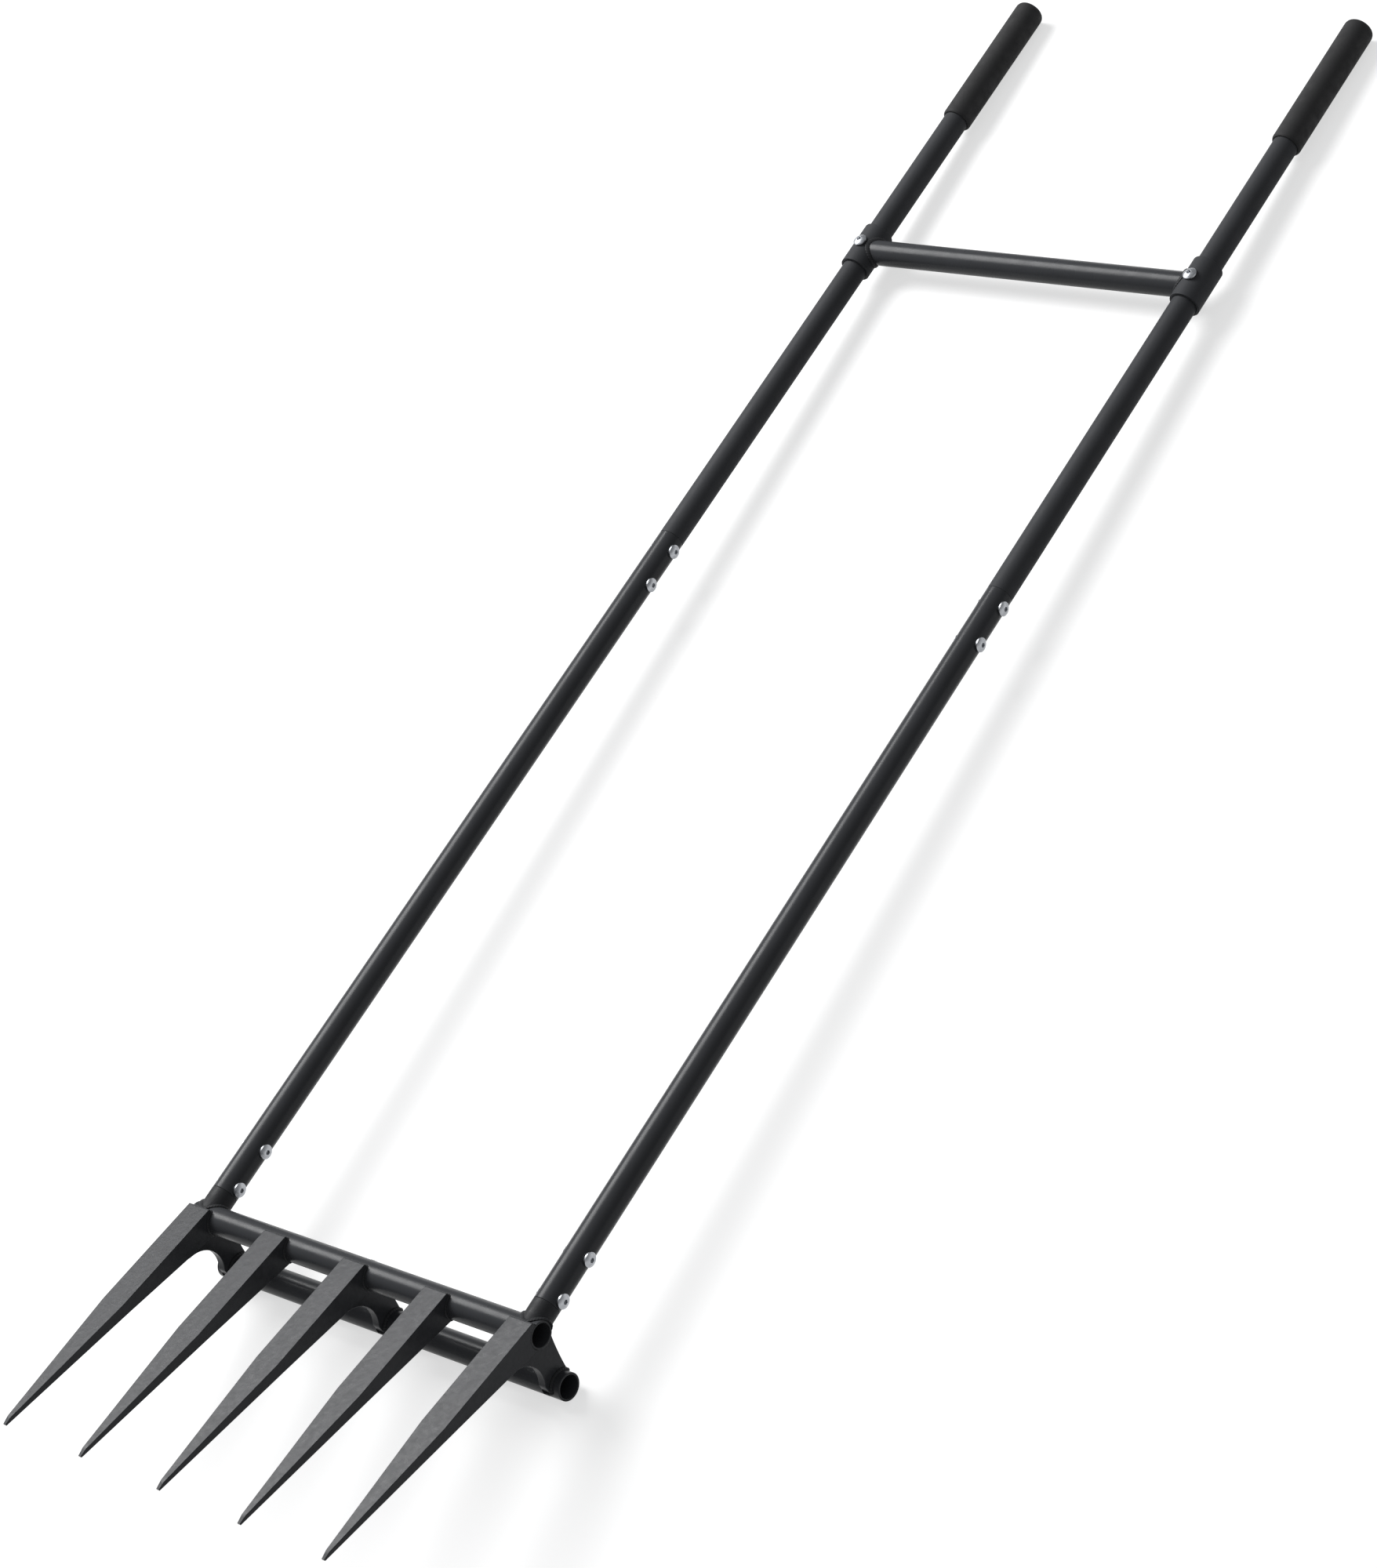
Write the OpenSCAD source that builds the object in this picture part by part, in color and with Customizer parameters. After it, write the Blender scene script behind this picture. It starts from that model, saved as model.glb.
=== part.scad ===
// Broadfork: a two-handled garden fork, with a row of wedge tines under a tread bar,
// a heel bar behind it to lever on, and bolted tube handles held apart by a crossbrace.
// Each piece is drawn on the standing tool, about the middle of the tread bar:
// x to the right, y to the back, z up along the handles.
// The tool is then laid on its back, on the heel bar and the ends of the two grips.

/* [Head] */
// Distance between the axes of the two handles, and of the outer tines
handle_span = 400; // [320:5:520]
// Outside diameter of the tread bar and the heel bar
bar_od = 25; // [22:0.5:32]
// Wall of the tread bar and the heel bar
bar_wall = 2; // [1.5:0.1:4]
// How far the two bars run past each handle axis
bar_overhang = 13; // [12.5:0.5:30]
// Distance of the heel bar's axis behind the tread bar's axis
heel_back = 62.5; // [56:0.5:80]
// Drop of the heel bar's axis below the tread bar's axis
heel_drop = 12; // [6:0.5:18]
// Air left for the weld between two pieces of the head
weld_gap = 0.2; // [0.1:0.05:0.4]

/* [Gussets] */
// Thickness of the plates between the two bars
gusset_t = 8; // [3:0.5:10]
// Radius of the hollow upper edge of a plate
gusset_sweep_r = 260; // [200:5:320]
// Angle behind the heel bar's top where the circle of that edge touches the bar, in degrees
gusset_sweep_lean = 7.6; // [5:0.1:9]
// Radius of the arch under a plate
gusset_arch_r = 27; // [20:0.5:28]
// Drop of the arch's crown below the tread bar's axis
gusset_arch_drop = 18.5; // [18:0.5:24]

/* [Tines] */
// Width of a tine from the tread bar to its shoulder
tine_w = 26.5; // [20:0.5:44]
// Width of a tine at its tip
tine_tip_w = 3.5; // [3:0.5:10]
// Thickness of a tine at its shoulder, front to back
tine_shoulder_t = 11.4; // [8:0.2:14]
// Thickness of a tine at its tip, front to back, before the bevel
tine_tip_t = 3.8; // [3:0.2:8]
// Length of the bevel on the front of a tip
tine_bevel = 8; // [2:0.5:20]
// Depth of the bevel at the tip
tine_bevel_t = 2; // [0.5:0.1:2.4]
// Drop of the shoulder, where the width starts to taper, below the tread bar's axis
tine_shoulder_drop = 115; // [70:1:150]
// Drop of the tips below the tread bar's axis
tine_reach = 257; // [180:1:340]
// Forward lean of a tine's front face, in degrees
tine_lean = 10; // [4:0.1:14]
// Steel left in front of the tread bar
tine_lip_t = 4.7; // [4:0.1:10]
// Rise of the lip above the tread bar's axis
tine_lip_rise = 1.5; // [0.5:0.5:10]
// Radius of the lip's front corner
tine_lip_round = 2.5; // [1:0.5:5]
// Distance behind the tread bar's axis where a tine's rear edge meets the bar's underside
tine_root_back = 5.6; // [0:0.2:7]

/* [Handles] */
// Outside diameter of the handle tubes
handle_od = 25; // [20:0.5:30]
// Wall of the handle tubes
handle_wall = 1.5; // [1.2:0.1:2.5]
// Height of the stubs' shoulders, which the lower tubes rest on, above the tread bar's axis
handle_start = 26; // [22:0.5:40]
// Length of a lower tube
lower_len = 774; // [500:1:900]
// Length of an upper tube, from its shoulder to its top
upper_len = 716; // [560:1:800]
// Length of the upper tube's reduced end, inside the lower tube
splice_len = 74; // [68:1:100]
// Length of the head's stub inside the lower tube
stub_depth = 66; // [60:1:100]
// Wall of the head's stubs inside the tubes
stub_wall = 2; // [1.5:0.1:3]
// Room on each side between a stub or a reduced end and the tube round it
slip_gap = 0.1; // [0.05:0.05:0.3]

/* [Crossbrace] */
// Height of the crossbrace above the tread bar's axis
brace_height = 1180; // [1050:1:1300]
// Outside diameter of the crossbrace
brace_od = 25; // [16:0.5:27]
// Wall of the crossbrace
brace_wall = 1.5; // [1.2:0.1:2.5]
// Length of a collar along its handle
collar_len = 48; // [36:1:80]
// Wall of a collar
collar_wall = 2.8; // [1.5:0.1:4]

/* [Grips] */
// Length of a grip, with its closed end
grip_len = 158; // [110:1:200]
// Wall of a grip round the tube
grip_wall = 2.4; // [2:0.1:5]
// Thickness of a grip's closed end
grip_end_t = 4; // [2:0.5:8]
// Radius of a grip's end edge
grip_round = 6; // [3:0.5:8]
// Length of the bevel at a grip's mouth
grip_bevel = 2; // [1:0.5:6]

/* [Fasteners] */
// Diameter of the bolts
bolt_d = 6; // [5:0.5:8]
// Room on each side between a bolt and its hole
bolt_gap = 0.2; // [0.1:0.05:0.5]
// Distance between the two bolts of a joint
bolt_pitch = 42; // [36:1:44]
// Distance of the lowest bolt from the lower tube's end
head_bolt_edge = 8; // [6:0.5:14]
// Distance of the splice's upper bolt from the seam
splice_bolt_edge = 14; // [8:0.5:16]
// Diameter of a bolt's domed head
bolt_head_d = 13.5; // [11:0.5:15]
// Height of a bolt's domed head
bolt_head_h = 4; // [3:0.1:5]
// Height of the straight rim under a bolt's dome
bolt_rim_h = 1.8; // [0.5:0.1:2.5]
// Width of the hex socket across its flats
socket_w = 4; // [3:0.5:5]
// Depth of the hex socket
socket_depth = 2; // [1:0.1:2.4]
// Outside diameter of a nut's barrel
barrel_d = 8.5; // [7.5:0.5:12]
// Length of a nut's barrel inside the tubes
barrel_len = 10; // [8:0.5:11]
// Diameter of a nut's domed cap
cap_d = 11; // [10:0.5:15]
// Height of a nut's domed cap
cap_h = 1.8; // [1.2:0.1:4]
// Height of the straight rim under a nut's cap
cap_rim_h = 0.3; // [0.2:0.1:1]

/* [Hidden] */
$fn = 96;
// How far a cut runs past the piece that it cuts
overrun = 1;
// Place of a gusset's arch between the tread bar and the heel bar
arch_place_share = 0.51;
// Points on a rounded corner of an outline
corner_steps = 6;
// Places of the tines along the tread bar, from its middle, as shares of the handles' distance
tine_place_shares = [-0.5, -0.25, 0, 0.25, 0.5];

bar_r = bar_od / 2;
bar_len = handle_span + bar_overhang * 2;
handle_x = handle_span / 2;

handle_r = handle_od / 2;
handle_bore_r = handle_r - handle_wall;
slip_r = handle_bore_r - slip_gap;
seam_z = handle_start + lower_len;
handle_top = seam_z + upper_len;

collar_bore_r = handle_r + slip_gap;
collar_r = collar_bore_r + collar_wall;

grip_bore_r = handle_r + slip_gap;
grip_r = grip_bore_r + grip_wall;
grip_top = handle_top + slip_gap + grip_end_t;

bolt_r = bolt_d / 2;
hole_r = bolt_r + bolt_gap;
barrel_r = barrel_d / 2;
head_bolts_z = [handle_start + head_bolt_edge, handle_start + head_bolt_edge + bolt_pitch];
splice_bolts_z = [seam_z - splice_bolt_edge, seam_z - splice_bolt_edge - bolt_pitch];

// The heel bar's section, as [y, z]
heel = [heel_back, -heel_drop];
// A tine's front face and, above its shoulder, its rear edge, as y at a height z
function tine_front(z) = -bar_r - tine_lip_t + z * tan(tine_lean);
tine_tip_front = [tine_front(-tine_reach), -tine_reach];
tine_tip_rear = [tine_tip_front[0] + tine_tip_t, -tine_reach];
tine_shoulder_rear = [tine_front(-tine_shoulder_drop) + tine_shoulder_t, -tine_shoulder_drop];
rear_slope = (tine_root_back - tine_shoulder_rear[0]) / (tine_shoulder_drop - bar_r);
function tine_rear(z) = tine_root_back + (z + bar_r) * rear_slope;
// The arch's centre, as [y, z]
arch = [heel_back * arch_place_share, -gusset_arch_drop - gusset_arch_r];

// The floor's line touches the heel bar and the end edge of a grip from behind: rest_tilt is
// its angle to the handles, and floor_back its distance behind the tread bar's axis.
grip_edge = [grip_r - grip_round, grip_top - grip_round];
rest_run = norm(grip_edge - heel);
rest_tilt = atan2(heel[0] - grip_edge[0], grip_edge[1] - heel[1]) + asin((bar_r - grip_round) / rest_run);
function along_floor(p) = p[1] * cos(rest_tilt) - p[0] * sin(rest_tilt);
function behind(p) = p[0] * cos(rest_tilt) + p[1] * sin(rest_tilt);
floor_back = behind(heel) + bar_r;
reach_low = min(along_floor(tine_tip_front), along_floor(tine_tip_rear));
reach_high = along_floor([-grip_edge[0], grip_edge[1]]) + grip_round;
rest_middle = (reach_low + reach_high) / 2;

LEFT = -1;
CENTRE = 0;
RIGHT = 1;
SIDES = [LEFT, RIGHT];

coat_colour = "#2f3032";
rubber_colour = "#1d1d1e";
zinc_colour = "#c3c5c8";

// Lays the standing tool on its back, with the floor at z = 0 and its box centred in x and y.
module at_rest() {
    translate([0, -rest_middle, floor_back])
        rotate([-90 - rest_tilt, 0, 0])
            children();
}

// A solid bar along x, centred at [y, z].
module bar_solid(place, r, length) {
    translate([-length / 2, place[0], place[1]])
        rotate([0, 90, 0])
            cylinder(r = r, h = length);
}

// An outline drawn in y and z, given a thickness along x and centred on x = 0.
module side_plate(thickness) {
    translate([-thickness / 2, 0, 0])
        rotate([90, 0, 90])
            linear_extrude(thickness)
                children();
}

// A tube standing on z = 0.
module tube(r, bore_r, length) {
    difference() {
        cylinder(r = r, h = length);
        translate([0, 0, -overrun])
            cylinder(r = bore_r, h = length + overrun * 2);
    }
}

// Sets a fastener's axis through a handle, with its seat on the handle's right side.
module across_handle(z) {
    translate([handle_r, 0, z])
        rotate([0, -90, 0])
            children();
}

// Sets a fastener's axis through a collar, with its seat on the collar's front.
module across_collar() {
    translate([0, -collar_r, brace_height])
        rotate([-90, 0, 0])
            children();
}

// Holes through what a bolt clamps: for its shank near its head, and for its nut's barrel beyond.
module fastener_hole(clamped) {
    translate([0, 0, -overrun])
        cylinder(r = hole_r, h = clamped / 2 + overrun);
    translate([0, 0, clamped / 2])
        cylinder(r = barrel_r + bolt_gap, h = clamped / 2 + overrun);
}

// The two holes of a handle's joint, at the given heights.
module joint_holes(heights) {
    for (z = heights)
        across_handle(z) fastener_hole(handle_od);
}

// A low dome on a straight rim, standing on z = 0.
module dome(d, rim_h, h) {
    crown_h = h - rim_h;
    crown_r = (pow(d / 2, 2) + pow(crown_h, 2)) / (crown_h * 2);
    rotate_extrude()
        intersection() {
            translate([0, h - crown_r])
                circle(r = crown_r);
            square([d / 2, h]);
        }
}

// A domed bolt with a hex socket: its head is below z = 0, and its shank ends inside its nut.
module bolt(clamped) {
    color(zinc_colour) {
        difference() {
            rotate([180, 0, 0])
                dome(bolt_head_d, bolt_rim_h, bolt_head_h);
            translate([0, 0, -bolt_head_h - overrun])
                cylinder(d = socket_w / cos(30), h = socket_depth + overrun, $fn = 6);
        }
        cylinder(r = bolt_r, h = clamped - bolt_r);
    }
}

// A barrel nut: a sleeve round the bolt's end, with a domed cap on the far side of what is clamped.
module barrel_nut(clamped) {
    color(zinc_colour)
        translate([0, 0, clamped])
            difference() {
                union() {
                    dome(cap_d, cap_rim_h, cap_h);
                    translate([0, 0, -barrel_len])
                        cylinder(r = barrel_r, h = barrel_len);
                }
                translate([0, 0, -barrel_len - overrun])
                    cylinder(r = bolt_r + slip_gap, h = barrel_len + overrun - bolt_r / 2);
            }
}

// Round tube that the foot treads on; it carries the tines and the stubs.
module tread_bar() {
    color(coat_colour)
        difference() {
            bar_solid([0, 0], bar_r, bar_len);
            bar_solid([0, 0], bar_r - bar_wall, bar_len + overrun * 2);
        }
}

// Round tube behind the tread bar, which the tool rocks on.
module heel_bar() {
    color(coat_colour)
        difference() {
            bar_solid(heel, bar_r, bar_len);
            bar_solid(heel, bar_r - bar_wall, bar_len + overrun * 2);
        }
}

// Side outline of a tine, before it is cut round the tread bar.
module tine_outline() {
    lip_front = tine_front(tine_lip_rise - tine_lip_round);
    corner = [for (i = [0 : corner_steps])
        let (a = 90 * i / corner_steps)
        [lip_front + tine_lip_round * (1 - sin(a)), tine_lip_rise - tine_lip_round * (1 - cos(a))]];
    polygon(concat([
        [0, tine_lip_rise]
    ], corner, [
        [tine_front(tine_bevel - tine_reach), tine_bevel - tine_reach],
        tine_tip_front + [tine_bevel_t, 0],
        tine_tip_rear,
        tine_shoulder_rear,
        [tine_rear(0), 0]
    ]));
}

// Wedge tine: flat in front, thinner all the way down and narrower below its shoulder,
// with its top cut round the tread bar.
module tine(place_share) {
    color(coat_colour)
        translate([handle_span * place_share, 0, 0])
            difference() {
                intersection() {
                    side_plate(tine_w)
                        tine_outline();
                    translate([0, bar_r, 0])
                        rotate([90, 0, 0])
                            linear_extrude(bar_r * 2 - tine_tip_front[0])
                                polygon([
                                    [-tine_w / 2, tine_lip_rise],
                                    [-tine_w / 2, -tine_shoulder_drop],
                                    [-tine_tip_w / 2, -tine_reach],
                                    [tine_tip_w / 2, -tine_reach],
                                    [tine_w / 2, -tine_shoulder_drop],
                                    [tine_w / 2, tine_lip_rise]
                                ]);
                }
                bar_solid([0, 0], bar_r + weld_gap, tine_w + overrun * 2);
            }
}

// Plate behind a tine, between the two bars: hollow above, arched below.
// An outer plate reaches up behind its stub, and the centre one stops level with the tread bar.
module gusset(side) {
    heel_foot = heel[1] - bar_r;
    crown = heel + (bar_r + gusset_sweep_r) * [sin(gusset_sweep_lean), cos(gusset_sweep_lean)];
    plate_top = side == CENTRE ? bar_r : crown[1];
    front = side == CENTRE ? 0 : handle_r + weld_gap;
    color(coat_colour)
        translate([side * handle_x, 0, 0])
            difference() {
                side_plate(gusset_t)
                    polygon([
                        [tine_rear(-bar_r) + weld_gap, -bar_r],
                        [0, 0],
                        [front, 0],
                        [front, plate_top],
                        [heel[0], plate_top],
                        [heel[0], heel_foot],
                        [arch[0], heel_foot],
                        [tine_rear(arch[1]) + weld_gap, arch[1]]
                    ]);
                bar_solid(crown, gusset_sweep_r, gusset_t + overrun * 2);
                bar_solid(arch, gusset_arch_r, gusset_t + overrun * 2);
                bar_solid([0, 0], bar_r + weld_gap, gusset_t + overrun * 2);
                bar_solid(heel, bar_r + weld_gap, gusset_t + overrun * 2);
            }
}

// Stepped tube on the tread bar, which the handle slips over; its foot is cut round the bar.
module handle_stub(side) {
    color(coat_colour)
        translate([side * handle_x, 0, 0])
            difference() {
                union() {
                    cylinder(r = handle_r, h = handle_start);
                    cylinder(r = slip_r, h = handle_start + stub_depth);
                }
                translate([0, 0, -overrun])
                    cylinder(r = slip_r - stub_wall, h = handle_start + stub_depth + overrun * 2);
                bar_solid([0, 0], bar_r + weld_gap, handle_od + overrun * 2);
                joint_holes(head_bolts_z);
            }
}

// Lower half of a handle.
module lower_handle(side) {
    color(coat_colour)
        translate([side * handle_x, 0, 0])
            difference() {
                translate([0, 0, handle_start + slip_gap])
                    tube(handle_r, handle_bore_r, lower_len - slip_gap * 2);
                joint_holes(head_bolts_z);
                joint_holes(splice_bolts_z);
            }
}

// Upper half of a handle: its lower end is reduced, and goes into the lower half.
module upper_handle(side) {
    reduced_bore_r = slip_r - handle_wall;
    color(coat_colour)
        translate([side * handle_x, 0, 0])
            difference() {
                union() {
                    translate([0, 0, seam_z - splice_len])
                        cylinder(r = slip_r, h = splice_len + handle_wall);
                    translate([0, 0, seam_z])
                        cylinder(r = handle_r, h = upper_len);
                }
                translate([0, 0, seam_z - splice_len - overrun])
                    cylinder(r = reduced_bore_r, h = splice_len + upper_len + overrun * 2);
                translate([0, 0, seam_z + handle_wall])
                    cylinder(r = handle_bore_r, h = upper_len);
                joint_holes(splice_bolts_z);
                across_collar() fastener_hole(collar_r * 2);
            }
}

// Sleeve on a handle that an end of the crossbrace is welded to.
module brace_collar(side) {
    color(coat_colour)
        translate([side * handle_x, 0, 0])
            difference() {
                translate([0, 0, brace_height - collar_len / 2])
                    tube(collar_r, collar_bore_r, collar_len);
                across_collar() fastener_hole(collar_r * 2);
            }
}

// Tube that holds the handles apart, with its ends cut round the collars.
module crossbrace() {
    color(coat_colour)
        difference() {
            bar_solid([0, brace_height], brace_od / 2, handle_span);
            bar_solid([0, brace_height], brace_od / 2 - brace_wall, handle_span + overrun * 2);
            for (side = SIDES)
                translate([side * handle_x, 0, brace_height - collar_len / 2])
                    cylinder(r = collar_r + weld_gap, h = collar_len);
        }
}

// Rubber sleeve with a closed, rounded end.
module grip(side) {
    color(rubber_colour)
        translate([side * handle_x, 0, grip_top - grip_len])
            rotate_extrude()
                difference() {
                    union() {
                        square([grip_r, grip_len - grip_round]);
                        square([grip_r - grip_round, grip_len]);
                        translate([grip_r - grip_round, grip_len - grip_round])
                            intersection() {
                                circle(r = grip_round);
                                square(grip_round);
                            }
                    }
                    square([grip_bore_r, grip_len - grip_end_t]);
                    polygon([
                        [grip_r - grip_wall / 2, 0],
                        [grip_r, grip_bevel],
                        [grip_r, 0]
                    ]);
                }
}

// Bolts and nuts through the lower tubes and the stubs.
module head_bolts() {
    for (side = SIDES, z = head_bolts_z)
        translate([side * handle_x, 0, 0])
            across_handle(z) bolt(handle_od);
}

module head_nuts() {
    for (side = SIDES, z = head_bolts_z)
        translate([side * handle_x, 0, 0])
            across_handle(z) barrel_nut(handle_od);
}

// Bolts and nuts through the lower tubes and the upper tubes' reduced ends.
module splice_bolts() {
    for (side = SIDES, z = splice_bolts_z)
        translate([side * handle_x, 0, 0])
            across_handle(z) bolt(handle_od);
}

module splice_nuts() {
    for (side = SIDES, z = splice_bolts_z)
        translate([side * handle_x, 0, 0])
            across_handle(z) barrel_nut(handle_od);
}

// Bolts and nuts through the collars and the upper tubes.
module brace_bolts() {
    for (side = SIDES)
        translate([side * handle_x, 0, 0])
            across_collar() bolt(collar_r * 2);
}

module brace_nuts() {
    for (side = SIDES)
        translate([side * handle_x, 0, 0])
            across_collar() barrel_nut(collar_r * 2);
}

at_rest() tread_bar();
at_rest() heel_bar();
at_rest() tine(tine_place_shares[0]);  // tine_1
at_rest() tine(tine_place_shares[1]);  // tine_2
at_rest() tine(tine_place_shares[2]);  // tine_3
at_rest() tine(tine_place_shares[3]);  // tine_4
at_rest() tine(tine_place_shares[4]);  // tine_5
at_rest() gusset(LEFT);  // gusset_left
at_rest() gusset(CENTRE);  // gusset_centre
at_rest() gusset(RIGHT);  // gusset_right
at_rest() handle_stub(LEFT);  // handle_stub_left
at_rest() handle_stub(RIGHT);  // handle_stub_right
at_rest() lower_handle(LEFT);  // lower_handle_left
at_rest() lower_handle(RIGHT);  // lower_handle_right
at_rest() upper_handle(LEFT);  // upper_handle_left
at_rest() upper_handle(RIGHT);  // upper_handle_right
at_rest() brace_collar(LEFT);  // brace_collar_left
at_rest() brace_collar(RIGHT);  // brace_collar_right
at_rest() crossbrace();
at_rest() grip(LEFT);  // grip_left
at_rest() grip(RIGHT);  // grip_right
at_rest() head_bolts();
at_rest() head_nuts();
at_rest() splice_bolts();
at_rest() splice_nuts();
at_rest() brace_bolts();
at_rest() brace_nuts();
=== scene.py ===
"""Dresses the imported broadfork: coated steel, weld beads, rubber grips and zinc bolts, on a pale floor.

Each piece is worked out in millimetres on the standing tool, with x to the right, y to the back, z up
along the handles and the origin on the tread bar's axis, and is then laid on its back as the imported
part lies. Surfaces are grids of points, worked out as whole arrays.
"""
from __future__ import annotations

import logging
import math
from collections.abc import Sequence
from dataclasses import dataclass, field
from enum import Enum

import bpy
import numpy as np
from mathutils import Matrix, Vector

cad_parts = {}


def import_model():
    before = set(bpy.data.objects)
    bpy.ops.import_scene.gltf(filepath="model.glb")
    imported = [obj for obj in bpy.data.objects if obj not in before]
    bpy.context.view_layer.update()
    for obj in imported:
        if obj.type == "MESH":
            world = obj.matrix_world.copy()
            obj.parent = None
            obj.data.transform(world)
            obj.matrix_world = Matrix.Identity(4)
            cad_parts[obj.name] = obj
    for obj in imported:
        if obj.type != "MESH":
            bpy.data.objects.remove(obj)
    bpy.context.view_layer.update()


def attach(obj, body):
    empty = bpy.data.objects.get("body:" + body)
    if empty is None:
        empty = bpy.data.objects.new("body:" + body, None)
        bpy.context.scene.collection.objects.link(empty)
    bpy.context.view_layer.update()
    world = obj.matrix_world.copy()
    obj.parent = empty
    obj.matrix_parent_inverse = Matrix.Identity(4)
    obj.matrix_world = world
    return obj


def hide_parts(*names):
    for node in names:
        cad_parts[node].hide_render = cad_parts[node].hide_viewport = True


LOG = logging.getLogger("broadfork")
MM = 0.001
BODY = "root"


class Side(Enum):
    """The two handles, by the sign of x."""

    LEFT = -1
    RIGHT = 1

    @property
    def word(self) -> str:
        """The side as it stands in the nodes' names."""
        return self.name.lower()


class Slot(Enum):
    """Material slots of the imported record."""

    COAT = "powder_coat"
    RUBBER = "grip_rubber"
    ZINC = "zinc_hardware"


class Ends(Enum):
    """How the first and the last row of a surface's grid are closed."""

    FAN = "each by a fan of triangles"
    FLAT = "each by one flat face"
    RING = "joined to each other"


# Outlines and surfaces.

# Faces that meet at more than this many degrees keep a sharp edge.
SHARP_DEG = 40.0
# Largest share of an edge that the rounding of its corner takes.
MOST_EASE_SHARE = 0.4
# Where the flat beside a rounding starts, as a share of the rounding's ease.
FLAT_SHARE = 1.2
# Points of a tube within this many millimetres of its end follow the round piece that it stands on.
FOOT_H = 1.0
# Points on a long curve.
CURVE_POINTS = 60


def rounding(steps: int) -> tuple[np.ndarray, np.ndarray]:
    """How far a rounded corner's points lie from the corner along its two edges, as shares of its ease.

    The shares are (1-u)^2 and u^2 for u from 0 to 1. One more point a little further out on each edge
    keeps the flat flat.

    Args:
        steps: Points on the rounding itself.

    Returns:
        The shares along the first edge and those along the second.
    """
    u = np.linspace(0.0, 1.0, steps)
    first = np.concatenate([[FLAT_SHARE], (1.0 - u) ** 2, [0.0]])
    second = np.concatenate([[0.0], u ** 2, [FLAT_SHARE]])
    return first, second


def eased(corners: Sequence[tuple[float, float]], ease: float | Sequence[float],
          closed: bool = True, steps: int = 6) -> np.ndarray:
    """Rounds the corners of an outline.

    A corner P becomes the curve (1-u)^2 A + 2u(1-u) P + u^2 C, where A and C lie on its two edges at
    the ease's distance from P.

    Args:
        corners: The outline's corners, in order.
        ease: Distance from a corner where its rounding starts, for all corners or for each.
        closed: Whether the last corner joins the first; if not, the two ends stay as they are.
        steps: Points on each rounding.

    Returns:
        The points of the rounded outline, as an array of n by 2.
    """
    p = np.asarray(corners, float)
    back, ahead = np.roll(p, 1, axis=0) - p, np.roll(p, -1, axis=0) - p
    back_len = np.linalg.norm(back, axis=1, keepdims=True)
    ahead_len = np.linalg.norm(ahead, axis=1, keepdims=True)
    reach = np.broadcast_to(np.asarray(ease, float), len(p))[:, None]
    reach = np.minimum(reach, MOST_EASE_SHARE * np.minimum(back_len, ahead_len))
    from_back, to_ahead = back / back_len * reach, ahead / ahead_len * reach
    first, second = (shares[:, None] for shares in rounding(steps))
    curves = p[:, None] + first * from_back[:, None] + second * to_ahead[:, None]
    if closed:
        return curves.reshape(-1, 2)
    return np.concatenate([p[:1], curves[1:-1].reshape(-1, 2), p[-1:]])


def spaced(line: np.ndarray, count: int) -> np.ndarray:
    """Spreads points evenly along a line.

    Args:
        line: Points of the line, as n by 2 or n by 3.
        count: How many points to spread along it, both ends included.

    Returns:
        The evenly spread points, by linear steps in the length run so far.
    """
    run = np.concatenate([[0.0], np.cumsum(np.linalg.norm(np.diff(line, axis=0), axis=1))])
    at = np.linspace(0.0, run[-1], count)
    return np.stack([np.interp(at, run, column) for column in line.T], axis=1)


def spaced_ring(ring: np.ndarray, count: int) -> np.ndarray:
    """Spreads points evenly round an outline whose last point joins its first."""
    return spaced(np.concatenate([ring, ring[:1]]), count + 1)[:-1]


def arc(centre: tuple[float, float], r: float, start: float, end: float, count: int = 48) -> np.ndarray:
    """Lays points on a circle from one angle to another.

    Args:
        centre: The circle's middle.
        r: Its radius.
        start: The first angle, in radians from straight down.
        end: The last angle.
        count: How many points to lay.

    Returns:
        The points centre + r (sin a, -cos a), as n by 2.
    """
    a = np.linspace(start, end, count)
    return np.stack([centre[0] + r * np.sin(a), centre[1] - r * np.cos(a)], axis=1)


def unit(vectors: np.ndarray) -> np.ndarray:
    """Vectors brought to length one."""
    return vectors / np.linalg.norm(vectors, axis=-1, keepdims=True)


def right_of(ring: np.ndarray) -> np.ndarray:
    """Unit directions to the right of a closed outline: its way (a, b) at each point becomes (b, -a)."""
    way = np.roll(ring, -1, axis=0) - np.roll(ring, 1, axis=0)
    return unit(np.stack([way[:, 1], -way[:, 0]], axis=1))


def lathe(profile: np.ndarray, turns: int = 96) -> np.ndarray:
    """Turns a profile about z.

    Args:
        profile: Points of (radius, height), as n by 2.
        turns: Points round the axis.

    Returns:
        The grid (r cos t, r sin t, h), with the profile down the rows and the angle t along the columns.
    """
    t = np.linspace(0.0, math.tau, turns, endpoint=False)
    r, h = profile[:, :1], profile[:, 1:]
    return np.stack([r * np.cos(t), r * np.sin(t), h + 0.0 * t], axis=2)


def along_x(points: np.ndarray) -> np.ndarray:
    """Turns a piece that was made along z to lie along x."""
    return points[..., [2, 0, 1]]


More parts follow.
